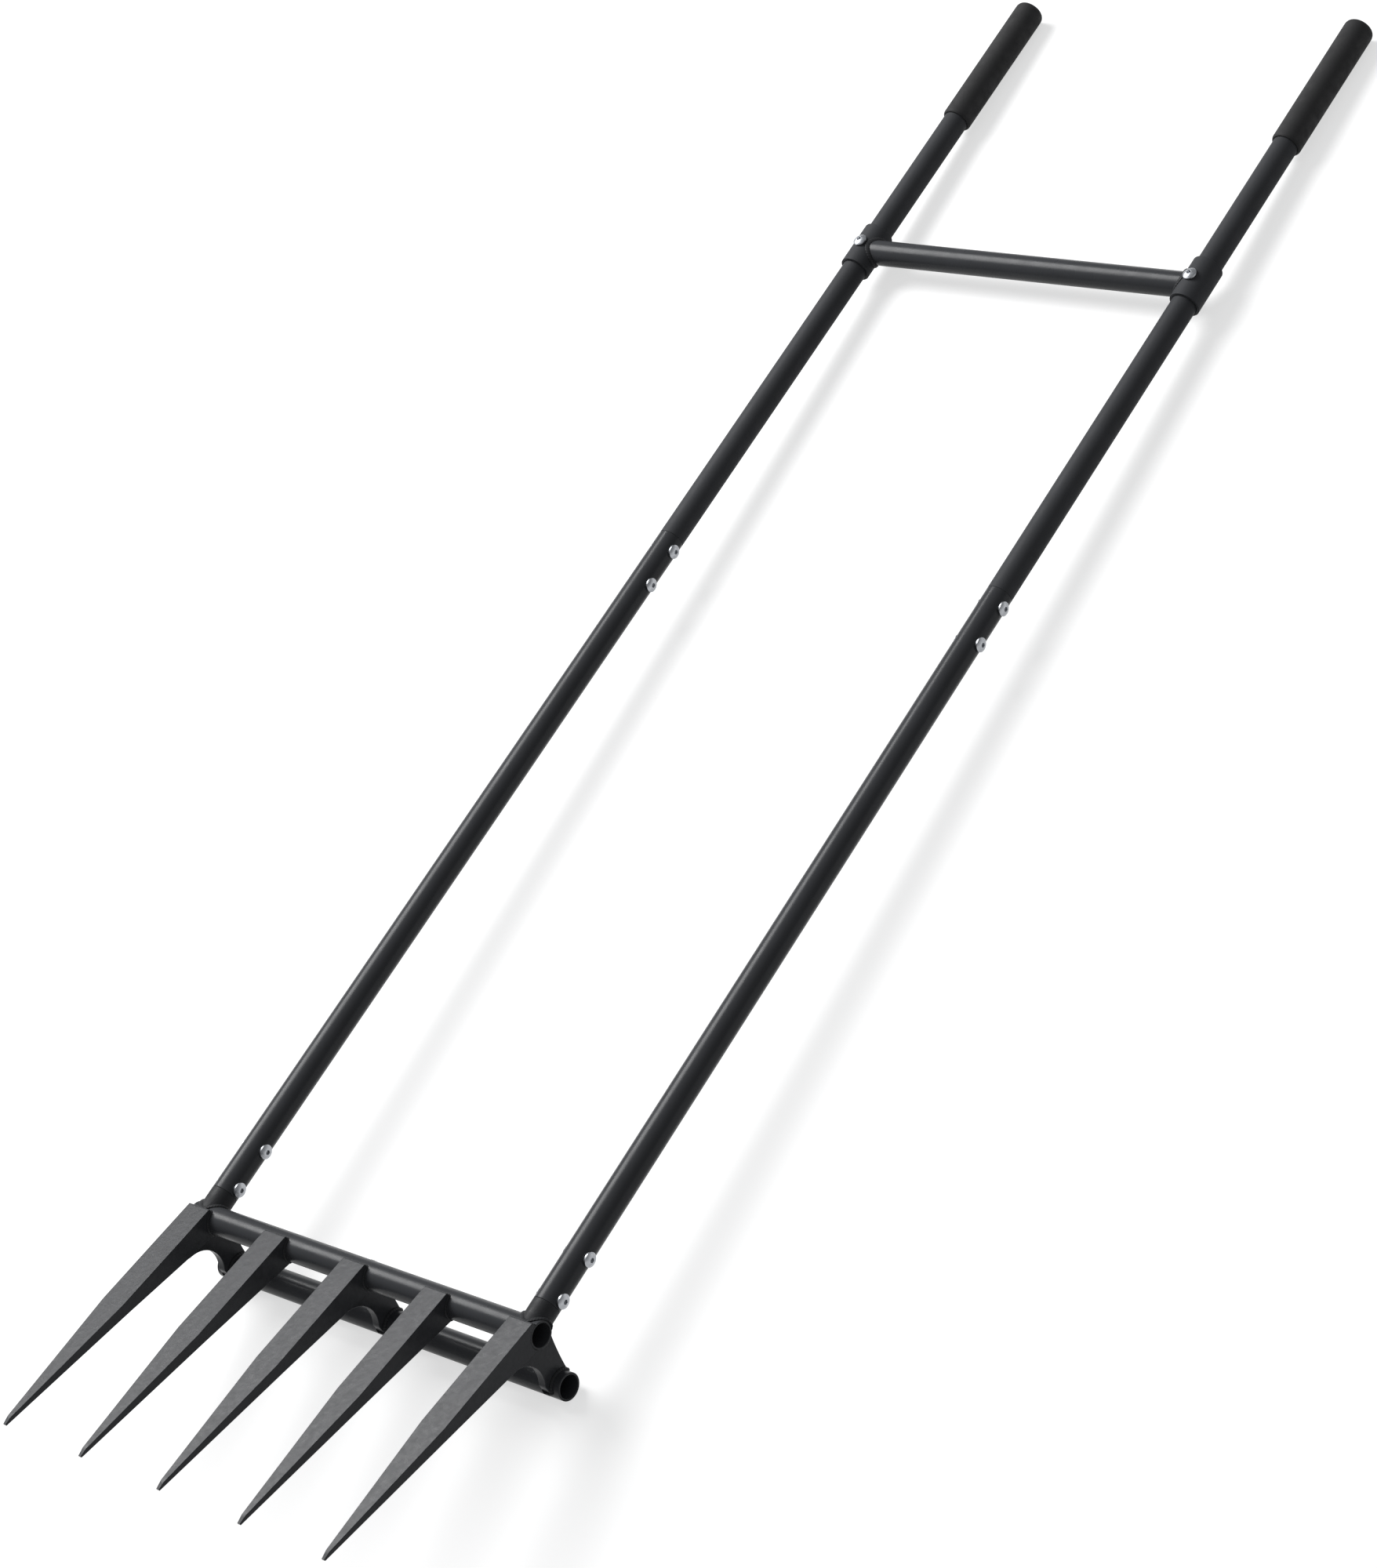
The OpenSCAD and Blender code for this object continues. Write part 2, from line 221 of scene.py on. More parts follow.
@dataclass
class Skin:
    """One closed surface: a grid of points, rows by columns by 3, whose columns close on themselves.

    Attributes:
        points: The grid.
        ends: How its first and last rows are closed.
    """

    points: np.ndarray
    ends: Ends = Ends.FAN

    def shell(self) -> tuple[np.ndarray, np.ndarray, np.ndarray]:
        """Joins the grid's points into faces that point outwards.

        The sign of the sum of a . (b x c) over the faces' triangles tells whether they do.

        Returns:
            The points, as n by 3, and the point numbers of the four-sided faces and of the faces that
            close the ends.
        """
        rows, columns = self.points.shape[:2]
        number = np.arange(rows * columns).reshape(rows, columns)
        first, last = number[0], number[-1]
        ring = self.ends is Ends.RING
        here = number if ring else number[:-1]
        after = np.roll(number, -1, axis=0) if ring else number[1:]
        around = [here, np.roll(here, -1, axis=1), np.roll(after, -1, axis=1), after]
        quads = np.stack(around, axis=2).reshape(-1, 4)
        points = self.points.reshape(-1, 3)
        caps = np.empty((0, 3), int)
        if self.ends is Ends.FLAT:
            caps = np.stack([first[::-1], last])
        elif self.ends is Ends.FAN:
            points = np.concatenate([points, points[first].mean(0)[None], points[last].mean(0)[None]])
            middle = np.full(columns, rows * columns)
            caps = np.concatenate([np.stack([np.roll(first, -1), first, middle], axis=1),
                                   np.stack([last, np.roll(last, -1), middle + 1], axis=1)])
        corners = np.concatenate([quads[:, [0, 1, 2]], quads[:, [0, 2, 3]], caps[:, :3]])
        a, b, c = (points[corners[:, k]] - points[0] for k in range(3))
        if np.einsum("ij,ij->", a, np.cross(b, c)) < 0.0:
            quads, caps = quads[:, ::-1], caps[:, ::-1]
        return points, quads, caps


@dataclass(frozen=True)
class Stance:
    """How the standing tool lies on the floor.

    It is turned about x by -(90 + tilt) degrees, and then moved by (0, -middle, lift).

    Attributes:
        tilt_deg: How far its handles slope down to the grips, in degrees.
        middle: How far its middle lies behind the tread bar's axis, in mm.
        lift: Height of the tread bar's axis above the floor, in mm.
    """

    tilt_deg: float = 2.25166
    middle: float = 632.395
    lift: float = 74.4803

    def lay(self, points: np.ndarray) -> np.ndarray:
        """Takes millimetres on the standing tool to metres on the floor."""
        a = math.radians(-90.0 - self.tilt_deg)
        turn = np.array([[1, 0, 0], [0, math.cos(a), -math.sin(a)], [0, math.sin(a), math.cos(a)]])
        return (points @ turn.T + (0.0, -self.middle, self.lift)) * MM


@dataclass(frozen=True)
class Plan:
    """Sizes, in millimetres, that more than one sub-assembly follows."""

    handle_span: float = 400.0
    handle_r: float = 12.5
    handle_wall: float = 1.5
    handle_start: float = 26.0
    lower_len: float = 774.0
    upper_len: float = 716.0
    bar_r: float = 12.5
    weld_gap: float = 0.2
    slip_gap: float = 0.1
    brace_height: float = 1180.0
    collar_wall: float = 2.8
    bolt_r: float = 3.0
    stance: Stance = field(default_factory=Stance)

    @property
    def seam(self) -> float:
        """Height of the seam between the two halves of a handle."""
        return self.handle_start + self.lower_len

    @property
    def top(self) -> float:
        """Height of a handle tube's top."""
        return self.seam + self.upper_len

    @property
    def collar_r(self) -> float:
        """Outside radius of a collar."""
        return self.handle_r + self.slip_gap + self.collar_wall

    def axis(self, side: Side) -> float:
        """Place of a handle's axis along x."""
        return side.value * self.handle_span / 2

    def beside(self, points: np.ndarray, side: Side) -> np.ndarray:
        """Moves a piece that was made on z to a handle's axis."""
        return points + (self.axis(side), 0.0, 0.0)

    def piece(self, name: str, skins: Sequence[Skin], material: bpy.types.Material, slot: Slot,
              *nodes: str) -> None:
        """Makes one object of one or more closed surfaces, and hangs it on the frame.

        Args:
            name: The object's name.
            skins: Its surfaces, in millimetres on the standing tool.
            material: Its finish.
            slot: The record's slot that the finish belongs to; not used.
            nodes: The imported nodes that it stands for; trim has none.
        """
        shells = [skin.shell() for skin in skins]
        points = np.concatenate([part for part, _, _ in shells])
        starts = np.cumsum([0] + [len(part) for part, _, _ in shells])
        faces = [kind + start for (_, *kinds), start in zip(shells, starts) for kind in kinds]
        rows = [row for kind in faces for row in kind.tolist()]
        mesh = bpy.data.meshes.new(name)
        mesh.from_pydata(self.stance.lay(points).tolist(), [], rows)
        mesh.polygons.foreach_set("use_smooth", np.ones(len(mesh.polygons), bool))
        mesh.set_sharp_from_angle(angle=math.radians(SHARP_DEG))
        mesh.materials.append(material)
        made = bpy.data.objects.new(name, mesh)
        bpy.context.scene.collection.objects.link(made)
        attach(made, BODY)
        if nodes:
            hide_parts(*nodes)
        stands_for = ", ".join(nodes) or "trim"
        LOG.info("%s: %d points, %d faces, for %s", name, len(points), len(mesh.polygons), stands_for)


def tube(r: float, bore: float, low: float, high: float, ease: float) -> np.ndarray:
    """Closed profile of a tube's wall, as (radius, height), with its rims eased."""
    return eased([(bore, low), (r, low), (r, high), (bore, high)], ease)


# Weld beads.

@dataclass(frozen=True)
class Bead:
    """A weld bead in the corner between two surfaces.

    Attributes:
        leg: How far the bead reaches along each of the two surfaces, in mm.
        ripple: Spacing of the ripples that the weld pool leaves, in mm.
        swell: Share of the leg that the ripples add and take.
        crown: Share of the leg that the bead's face stands proud of its plain curve.
        power: Power in that curve, where 1 makes it round and 2 a straight chamfer.
        root_share: Share of the leg that the bead's root lies inside the corner.
        splay_share: How much of a tube's outward direction is added to that along the bar under it.
        foot_ease: Rounding of the corners of a plate's foot, in mm.
        face_points: Points across the bead's face.
        plate_points: Points round a plate's foot.
        round_points: Points round a tube's foot.
    """

    leg: float
    ripple: float = 2.4
    swell: float = 0.05
    crown: float = 0.12
    power: float = 1.5
    root_share: float = 0.3
    splay_share: float = 0.25
    foot_ease: float = 2.0
    face_points: int = 7
    plate_points: int = 259
    round_points: int = 150

    def run(self, path: np.ndarray, on_first: np.ndarray, on_second: np.ndarray) -> Skin:
        """Carries the bead's section along a path that closes on itself.

        At a point P with directions A and B on the two surfaces, away from the corner, the face of the
        section is P + leg (cos q)^power A + leg (sin q)^power B, plus crown x leg x sin 2q along A + B,
        for q from 0 to a right angle. A root point inside the corner closes it. The leg swells and
        shrinks with the cosine of the length run.

        Args:
            path: The corner's line, as n by 3.
            on_first: Unit directions A, as n by 3.
            on_second: Unit directions B, as n by 3.

        Returns:
            The bead's surface.
        """
        step = np.linalg.norm(np.roll(path, -1, axis=0) - path, axis=1)
        run = np.concatenate([[0.0], np.cumsum(step)])
        length = run[-1]
        waves = max(1, round(length / self.ripple))
        leg = self.leg * (1.0 + self.swell * np.cos(math.tau * waves * run[:-1] / length))
        q = np.linspace(0.0, math.pi / 2.0, self.face_points)
        first = np.append(np.cos(q).clip(0.0) ** self.power, -self.root_share)
        second = np.append(np.sin(q).clip(0.0) ** self.power, -self.root_share)
        proud = np.append(self.crown * np.sin(2.0 * q), 0.0)
        a, b = on_first[:, None] * leg[:, None, None], on_second[:, None] * leg[:, None, None]
        grid = path[:, None] + a * (first + proud)[:, None] + b * (second + proud)[:, None]
        return Skin(grid, Ends.RING)

    def round_foot(self, r: float, base_r: float) -> Skin:
        """Bead round the foot of a tube that stands on a round bar.

        The tube, of radius r, stands on z, and the bar, of radius R, lies on x: the corner is at
        (r cos t, r sin t, sqrt(R^2 - y^2)). A is the tube's outward normal laid on the bar and splayed a
        little, and B is z.

        Args:
            r: The tube's radius.
            base_r: The bar's radius.

        Returns:
            The bead, with the bar's axis on x and the tube's on z.
        """
        t = np.linspace(0.0, math.tau, self.round_points, endpoint=False)
        x, y = r * np.cos(t), r * np.sin(t)
        z = np.sqrt(np.maximum(base_r ** 2 - y ** 2, 0.0))
        out = np.stack([np.cos(t), np.sin(t), 0.0 * t], axis=1)
        bar_out = np.stack([0.0 * t, y, z], axis=1) / base_r
        laid = out - np.sum(out * bar_out, axis=1, keepdims=True) * bar_out
        on_bar = unit(laid + self.splay_share * out)
        return self.run(np.stack([x, y, z], axis=1), on_bar, np.tile([0.0, 0.0, 1.0], (len(t), 1)))

    def plate_foot(self, centre: tuple[float, float], r: float, half_width: float, start: float,
                   end: float, rear: tuple[float, float] | None = None) -> Skin:
        """Bead round the foot of a plate on a round bar that lies on x.

        On the bar's unrolled surface the foot is a rectangle, x by r a, with eased corners. A is its
        outward normal there, and B is the bar's own outward normal, which leans to the plate's rear
        edge where that is given.

        Args:
            centre: The bar's axis, as (y, z).
            r: The bar's radius.
            half_width: Half the plate's width along x.
            start: Angle, from straight down, where the plate's foot starts.
            end: Angle where it ends.
            rear: Direction of the plate's rear edge, as (y, z).

        Returns:
            The bead, about x = 0.
        """
        low, high = r * start, r * end
        corners = [(-half_width, low), (half_width, low), (half_width, high), (-half_width, high)]
        line = spaced_ring(eased(corners, self.foot_ease), self.plate_points)
        out = right_of(line)
        a = line[:, 1] / r
        none = 0.0 * a
        bar_out = np.stack([none, np.sin(a), -np.cos(a)], axis=1)
        round_bar = np.stack([none, np.cos(a), np.sin(a)], axis=1)
        path = bar_out * r + np.stack([line[:, 0], none + centre[0], none + centre[1]], axis=1)
        on_bar = out[:, :1] * (1.0, 0.0, 0.0) + out[:, 1:] * round_bar
        on_plate = bar_out
        if rear is not None:
            lean = np.clip(out[:, 1:], 0.0, 1.0)
            on_plate = unit(bar_out * (1.0 - lean) + lean * np.array([0.0, *rear]))
        return self.run(path, on_bar, on_plate)


# Finishes.

# Numbers of the Mix node's colour sockets, which share their names with its other sockets.
MIX_FACTOR, MIX_FIRST, MIX_SECOND, MIX_RESULT = 0, 6, 7, 2
# Layers of finer noise in the drift of the shades, and in the patches and the grain.
DRIFT_DETAIL = 3.0
GRAIN_DETAIL = 2.0
# Values between which nearly all of a noise lies.
NOISE_LOW, NOISE_HIGH = 0.3, 0.7


def linear(colour: str) -> tuple[float, float, float, float]:
    """Turns an sRGB hex colour into linear red, green, blue and alpha."""
    parts = np.array([int(colour[k:k + 2], 16) for k in (1, 3, 5)]) / 255.0
    parts = np.where(parts <= 0.04045, parts / 12.92, ((parts + 0.055) / 1.055) ** 2.4)
    return (*parts.tolist(), 1.0)


def per_metre(size_mm: float) -> float:
    """Scale of a pattern on coordinates in metres whose marks are this many millimetres apart."""
    return 1.0 / (size_mm * MM)


def add_node(tree: bpy.types.NodeTree, kind: str, inputs: dict, **settings: object) -> bpy.types.Node:
    """Adds a node with its settings, values and links.

    Args:
        tree: The node tree.
        kind: The node's type.
        inputs: Values, or the sockets to link from, by input name or number.
        settings: The node's own options.

    Returns:
        The node.
    """
    made = tree.nodes.new(kind)
    for name, value in settings.items():
        setattr(made, name, value)
    for name, value in inputs.items():
        if isinstance(value, bpy.types.NodeSocket):
            tree.links.new(value, made.inputs[name])
        else:
            made.inputs[name].default_value = value
    return made


@dataclass(frozen=True)
class Finish:
    """A real surface: its two shades, its gloss and its grain.

    Attributes:
        name: Common name of the material and how its surface was made.
        dark: Darker of the two shades that drift over it.
        pale: Paler of the two.
        drift_mm: Size of the patches of the two shades.
        smooth: Roughness where it is smoothest.
        rough: Roughness where it is roughest.
        patch_mm: Size of the smoother and rougher patches.
        grain_mm: Spacing of the grain.
        grain_deep_mm: Depth of the grain.
        metal: Whether it is bare metal.
        specular: Level of the gloss, where a half is plain for its kind.
    """

    name: str
    dark: str
    pale: str
    drift_mm: float
    smooth: float
    rough: float
    patch_mm: float
    grain_mm: float
    grain_deep_mm: float
    metal: bool = False
    specular: float = 0.5

    def material(self) -> bpy.types.Material:
        """Makes the material: three noises on the piece's own place give its shade, gloss and grain."""
        made = bpy.data.materials.new(self.name)
        made.use_nodes = True
        tree = made.node_tree
        tree.nodes.clear()
        place = add_node(tree, "ShaderNodeTexCoord", {}).outputs["Object"]
        drift = add_node(tree, "ShaderNodeTexNoise", {
            "Vector": place, "Scale": per_metre(self.drift_mm), "Detail": DRIFT_DETAIL})
        shade = add_node(tree, "ShaderNodeMix", {
            MIX_FACTOR: drift.outputs["Fac"], MIX_FIRST: linear(self.dark), MIX_SECOND: linear(self.pale)},
            data_type="RGBA")
        patch = add_node(tree, "ShaderNodeTexNoise", {
            "Vector": place, "Scale": per_metre(self.patch_mm), "Detail": GRAIN_DETAIL})
        gloss = add_node(tree, "ShaderNodeMapRange", {
            "Value": patch.outputs["Fac"], "From Min": NOISE_LOW, "From Max": NOISE_HIGH,
            "To Min": self.smooth, "To Max": self.rough})
        grain = add_node(tree, "ShaderNodeTexNoise", {
            "Vector": place, "Scale": per_metre(self.grain_mm), "Detail": GRAIN_DETAIL})
        relief = add_node(tree, "ShaderNodeBump", {
            "Height": grain.outputs["Fac"], "Strength": 1.0, "Distance": self.grain_deep_mm * MM})
        shader = add_node(tree, "ShaderNodeBsdfPrincipled", {
            "Base Color": shade.outputs[MIX_RESULT], "Metallic": float(self.metal),
            "Roughness": gloss.outputs["Result"], "Specular IOR Level": self.specular,
            "Normal": relief.outputs["Normal"]})
        add_node(tree, "ShaderNodeOutputMaterial", {"Surface": shader.outputs["BSDF"]})
        return made


# Steel with a baked satin powder coat: nearly even dark grey, with the faint orange peel of the
# melted powder. The peel is really about 1.5 mm across, and is drawn coarser so that it shows.
POWDER_COAT = Finish("steel_satin_powder_coat", dark="#343537", pale="#3c3d40", drift_mm=45.0,
                     smooth=0.25, rough=0.33, patch_mm=14.0, grain_mm=4.0, grain_deep_mm=0.04,
                     specular=0.12)
# The same coat on the upper tubes and their collars, baked from a matt powder: it spreads the light wide.
MATT_COAT = Finish("steel_matt_powder_coat", dark="#353638", pale="#3e3f42", drift_mm=40.0,
                   smooth=0.5, rough=0.6, patch_mm=14.0, grain_mm=3.0, grain_deep_mm=0.05, specular=0.12)
# The coat on flat steel cut from plate, whose rolled skin shows through it as a fine mottle.
PLATE_COAT = Finish("plate_steel_powder_coat", dark="#2e2f31", pale="#434447", drift_mm=5.0,
                    smooth=0.26, rough=0.36, patch_mm=6.0, grain_mm=4.0, grain_deep_mm=0.09, specular=0.12)
# The same coat over the weld beads and on the handle stubs: a darker tone, duller, with a lumpier skin.
WELD_COAT = Finish("weld_bead_powder_coat", dark="#232325", pale="#303133", drift_mm=12.0,
                   smooth=0.46, rough=0.6, patch_mm=6.0, grain_mm=1.6, grain_deep_mm=0.12, specular=0.15)
# Moulded soft rubber: almost black, matt, with the fine grain of an etched mould.
GRIP_RUBBER = Finish("moulded_grip_rubber", dark="#242425", pale="#2f2f30", drift_mm=30.0,
                     smooth=0.62, rough=0.78, patch_mm=9.0, grain_mm=2.4, grain_deep_mm=0.09, specular=0.25)
# Zinc plating on pressed bolts: bright and slightly clouded, as barrel plating leaves it.
ZINC_PLATE = Finish("zinc_plated_steel", dark="#9a9da1", pale="#bbbdc1", drift_mm=4.0,
                    smooth=0.32, rough=0.46, patch_mm=3.0, grain_mm=1.2, grain_deep_mm=0.012, metal=True)


# Sub-assemblies.

# Places of the tines and the plates along x, as shares of the handles' distance.
TINE_SHARES = np.linspace(-0.5, 0.5, 5)
PLATE_SHARES = {"gusset_left": -0.5, "gusset_centre": 0.0, "gusset_right": 0.5}


@dataclass
class Head:
    """Tread bar, heel bar, tines, plates and stubs, welded together.

    Attributes are millimetres, apart from the leans, which are in degrees, the starts and ends of the
    beads and root_clear, which are angles on a bar in radians, and the counts of points.
    """

    plan: Plan
    bar_wall: float = 2.0
    bar_edge: float = 0.5
    bar_overhang: float = 13.0
    heel_back: float = 62.5
    heel_drop: float = 12.0
    plate_t: float = 8.0
    plate_edge: float = 0.5
    plate_edge_least: float = 0.01
    plate_fade: float = 2.0
    plate_points: int = 480
    plate_mean: int = 3
    sweep_r: float = 260.0
    sweep_lean_deg: float = 7.6
    arch_r: float = 27.0
    arch_drop: float = 18.5
    arch_place: float = 31.875
    tine_w: float = 26.5
    tip_w: float = 3.5
    shoulder_t: float = 11.4
    tip_t: float = 3.8
    bevel: float = 8.0
    bevel_t: float = 2.0
    shoulder_drop: float = 115.0
    fan_drop: float = 34.0
    reach: float = 257.0
    lean_deg: float = 10.0
    lip_t: float = 4.7
    lip_rise: float = 1.5
    lip_round: float = 2.5
    lip_top: float = 2.625
    root_back: float = 5.6
    root_clear: float = 0.02
    tine_edge: float = 0.5
    stub_depth: float = 66.0
    stub_wall: float = 2.0
    stub_eases: tuple[float, ...] = (0.2, 0.2, 0.6, 0.3, 0.8, 0.4)
    bead_leg: float = 2.3
    bead_start: float = 0.2
    bead_end_outer: float = 1.5
    bead_end_middle: float = 2.9
    bead_end_heel: float = -0.3
    tine_bead_leg: float = 1.5
    tine_bead_ripple: float = 2.2

    @property
    def tread(self) -> tuple[float, float]:
        """The tread bar's axis, as (y, z)."""
        return 0.0, 0.0

    @property
    def heel(self) -> tuple[float, float]:
        """The heel bar's axis, as (y, z)."""
        return self.heel_back, -self.heel_drop

    @property
    def seat_r(self) -> float:
        """Radius of the bars with the air that is left for the weld."""
        return self.plan.bar_r + self.plan.weld_gap

    @property
    def rear_slope(self) -> float:
        """Rise in y for each mm in z of a tine's rear edge above its shoulder."""
        shoulder = float(self.front(-self.shoulder_drop)) + self.shoulder_t
        return (self.root_back - shoulder) / (self.shoulder_drop - self.plan.bar_r)

    @property
    def root_angle(self) -> float:
        """Angle on the tread bar, from straight down, where a tine's rear edge meets it."""
        widest, tries = 1.2, 2000
        a = np.linspace(0.0, widest, tries)
        off = self.seat_r * np.sin(a) - self.rear(-self.seat_r * np.cos(a))
        return float(a[np.argmin(np.abs(off))])

    @property
    def lip_angle(self) -> float:
        """Angle on the tread bar of the top of a tine's lip."""
        return -math.acos(-self.lip_rise / self.seat_r)

    def front(self, z: np.ndarray | float) -> np.ndarray | float:
        """Place in y of a tine's front face at a height."""
        return -self.plan.bar_r - self.lip_t + z * math.tan(math.radians(self.lean_deg))

    def rear(self, z: np.ndarray | float) -> np.ndarray | float:
        """Place in y of a tine's rear edge at a height above its shoulder."""
        return self.root_back + (z + self.plan.bar_r) * self.rear_slope

    def bar(self, y: float, z: float) -> Skin:
        """Open tube along x with its axis at (y, z)."""
        half = self.plan.handle_span / 2 + self.bar_overhang
        profile = tube(self.plan.bar_r, self.plan.bar_r - self.bar_wall, -half, half, self.bar_edge)
        return Skin(along_x(lathe(profile)) + (0.0, y, z), Ends.RING)

    def tine(self, place: float) -> Skin:
        """Wedge tine about x = place.

        Two lines run up the tine's side view: F on its front face, and B on its rear edge and then round
        the tread bar. F stays lower while B climbs to the bar, so that no steps cross behind it. The
        section at each step is a rectangle with eased corners between F and B, as wide as the tine is
        there: even down to the shoulder, and then narrower to the tip.

        Args:
            place: The tine's middle along x.

        Returns:
            The tine's surface.
        """
        bevel_rows, blade_rows, fan_rows = 5, 30, 16
        tip, shoulder, fan = -self.reach, -self.shoulder_drop, -self.fan_drop
        bevel_end, root = tip + self.bevel, -self.seat_r * math.cos(self.root_angle)
        low = np.concatenate([np.linspace(tip, bevel_end, bevel_rows)[:-1],
                              np.linspace(bevel_end, shoulder, blade_rows)])
        front_z = np.concatenate([low, np.linspace(shoulder, fan, fan_rows)[1:-1]])
        rear_z = np.concatenate([low, np.linspace(shoulder, root, fan_rows)[1:-1]])
        bevelled = self.bevel_t * np.clip((bevel_end - front_z) / self.bevel, 0.0, 1.0)
        tip_rear, shoulder_rear = self.front(tip) + self.tip_t, self.front(shoulder) + self.shoulder_t
        tapered = np.interp(rear_z, [tip, shoulder], [tip_rear, shoulder_rear])
        f = np.stack([self.front(front_z) + bevelled, front_z], axis=1)
        b = np.stack([np.where(rear_z <= shoulder, tapered, self.rear(rear_z)), rear_z], axis=1)
        lip_y, lip_z = self.front(self.lip_rise), self.lip_rise
        lip = eased([(self.front(fan), fan), (lip_y, lip_z), (lip_y + self.lip_top, lip_z)],
                    self.lip_round, closed=False)
        seat = arc(self.tread, self.seat_r, self.root_angle, self.lip_angle, CURVE_POINTS)
        f = np.concatenate([f, spaced(lip, CURVE_POINTS)])
        b = np.concatenate([b, spaced(seat, CURVE_POINTS)])
        half = np.interp(f[:, 1], [tip, shoulder], [self.tip_w / 2, self.tine_w / 2])[:, None]
        across = b - f
        depth = np.linalg.norm(across, axis=1, keepdims=True)
        ease = np.minimum(self.tine_edge, MOST_EASE_SHARE * np.minimum(2.0 * half, depth))
        inward, upward = rounding(steps=5)
        in_x = np.concatenate([inward, upward, inward, upward])
        in_d = np.concatenate([upward, inward, upward, inward])
        sign_x = np.repeat([1.0, 1.0, -1.0, -1.0], len(inward))
        sign_d = np.repeat([1.0, -1.0, -1.0, 1.0], len(inward))
        x = place + sign_x * (half - ease * in_x)
        d = sign_d * (depth / 2 - ease * in_d)
        middle = (f + b) / 2
        way = across / depth
        y, z = middle[:, :1] + way[:, :1] * d, middle[:, 1:] + way[:, 1:] * d
        return Skin(np.stack([x, y, z], axis=2))

    def plate(self, place: float, outer: bool) -> Skin:
        """Plate between the two bars, about x = place.

        Its outline in (y, z) runs along the hollow top, round the heel bar, along the arched foot and up
        the front, against the tine, bar and stub. The top's circle would touch the heel bar a little
        behind its top, and the foot runs straight from the toe until it meets the arch's circle. The mean
        over each point and a few on both sides of it rounds the corners. From side to side the rows are
        this outline, moved inwards by an ease that fades out towards the bars, the top's front and the toe.

        Args:
            place: The plate's middle along x.
            outer: Whether the plate stands behind a stub, and not behind the middle tine.

        Returns:
            The plate's surface.
        """
        r, gap, heel = self.seat_r, self.plan.weld_gap, self.heel
        lean, reach = math.radians(self.sweep_lean_deg), self.sweep_r + self.plan.bar_r
        crown_y, crown_z = heel[0] + reach * math.sin(lean), heel[1] + reach * math.cos(lean)
        end = math.acos((reach ** 2 + r ** 2 - self.sweep_r ** 2) / (2 * reach * r)) - lean
        bar_top = crown_y - math.sqrt(self.sweep_r ** 2 - (crown_z - self.plan.bar_r) ** 2)
        start = self.plan.handle_r + gap if outer else bar_top
        y = np.linspace(start, heel[0] - r * math.sin(end), CURVE_POINTS)
        top = np.stack([y, crown_z - np.sqrt(self.sweep_r ** 2 - (y - crown_y) ** 2)], axis=1)
        back = math.asin(math.sqrt(r ** 2 - self.plan.bar_r ** 2) / r)
        front_end = math.pi / 2 if outer else math.pi - back
        front = arc(self.tread, r, self.root_angle + self.root_clear, front_end)
        arch_z = -self.arch_drop - self.arch_r
        toe = (self.rear(arch_z) + gap, arch_z)
        run, rise = self.arch_place - toe[0], -self.heel_drop - self.plan.bar_r - arch_z
        slant = run ** 2 + rise ** 2
        cut = (run ** 2 - math.sqrt(run ** 4 - slant * (run ** 2 - self.arch_r ** 2))) / slant
        under = arc((self.arch_place, arch_z), -self.arch_r, -math.acos(rise / self.arch_r),
                    math.acos(cut * rise / self.arch_r))
        line = np.concatenate([top, arc(heel, r, -math.pi + end, -back), under, [toe], front])
        line = spaced_ring(line, self.plate_points)
        near = range(-self.plate_mean, self.plate_mean + 1)
        line = np.mean([np.roll(line, k, axis=0) for k in near], axis=0)
        room = np.min([np.linalg.norm(line - point, axis=1) - off for point, off in (
            (self.tread, r), (heel, r), (top[0], 0.0), (toe, 0.0))], axis=0)
        ease = np.clip(self.plate_edge * room / self.plate_fade, self.plate_edge_least, self.plate_edge)
        moved, sunk = rounding(steps=4)
        side = np.repeat([1.0, -1.0], len(moved))[:, None]
        x = place + side * (self.plate_t / 2 - np.concatenate([sunk, sunk[::-1]])[:, None] * ease)
        inset = np.concatenate([moved, moved[::-1]])[:, None] * ease
        rows = line + inset[..., None] * right_of(line)
        return Skin(np.concatenate([x[..., None], rows], axis=2), Ends.FLAT)

    def stub(self, side: Side) -> Skin:
        """Stepped tube on the tread bar, whose foot follows the bar.

        A profile of a wide base and a narrow spigot is turned about z. The points of its foot, near z = 0,
        are then raised by sqrt(R^2 - y^2), on to the bar.

        Args:
            side: Which handle it carries.

        Returns:
            The stub's surface.
        """
        plan = self.plan
        wide, slip = plan.handle_r, plan.handle_r - plan.handle_wall - plan.slip_gap
        bore = slip - self.stub_wall
        shoulder, top = plan.handle_start, plan.handle_start + self.stub_depth
        corners = [(bore, 0.0), (wide, 0.0), (wide, shoulder), (slip, shoulder), (slip, top), (bore, top)]
        grid = lathe(eased(corners, self.stub_eases))
        bar_z = np.sqrt(np.maximum(self.seat_r ** 2 - grid[..., 1] ** 2, 0.0))
        grid[..., 2] += np.where(grid[..., 2] < FOOT_H, bar_z, 0.0)
        return Skin(plan.beside(grid, side), Ends.RING)

